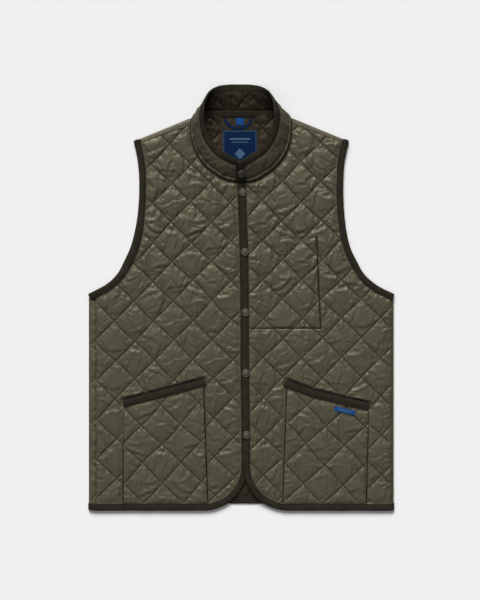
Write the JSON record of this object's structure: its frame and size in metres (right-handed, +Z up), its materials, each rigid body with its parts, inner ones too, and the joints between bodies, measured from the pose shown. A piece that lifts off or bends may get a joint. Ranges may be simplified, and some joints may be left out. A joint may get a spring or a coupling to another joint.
{
  "type": "quilted vest",
  "caption": "Sleeveless quilted vest laid flat, with a low stand collar, bound edges, patch pockets with bound mouths and a snap front.",
  "frame": {"origin": "on the surface that the vest lies on, under the middle of its length and width", "axes": "+Y from the hem to the collar, +X to the right as seen from above (the wearer's left), +Z up from the surface"},
  "size_m": [0.56, 0.7794, 0.0396],
  "materials": {
    "shell": "satin quilted nylon, dark olive",
    "lining": "plain woven lining, brown",
    "binding": "matte ribbed cotton tape, very dark olive brown",
    "snap": "dark pewter, satin",
    "label": "woven ribbon, navy",
    "size_tab": "woven ribbon, pale blue"
  },
  "bodies": {
    "root": {"back": "lining", "binding_back_hem": "binding", "front_left": "shell", "front_right": "shell", "pocket_left": "shell", "pocket_right": "shell", "binding_front_left": "binding", "binding_front_right": "binding", "binding_armhole_left": "binding", "binding_armhole_right": "binding", "binding_pocket_left": "binding", "binding_pocket_right": "binding", "collar": "shell", "binding_collar": "binding", "neck_tape": "binding", "hanger_loop": "label", "size_tab": "size_tab", "neck_label": "label", "pocket_label": "label", "snap_1": "snap", "snap_2": "snap", "snap_3": "snap", "snap_4": "snap", "snap_5": "snap", "snap_collar": "snap"}
  },
  "joints": []
}
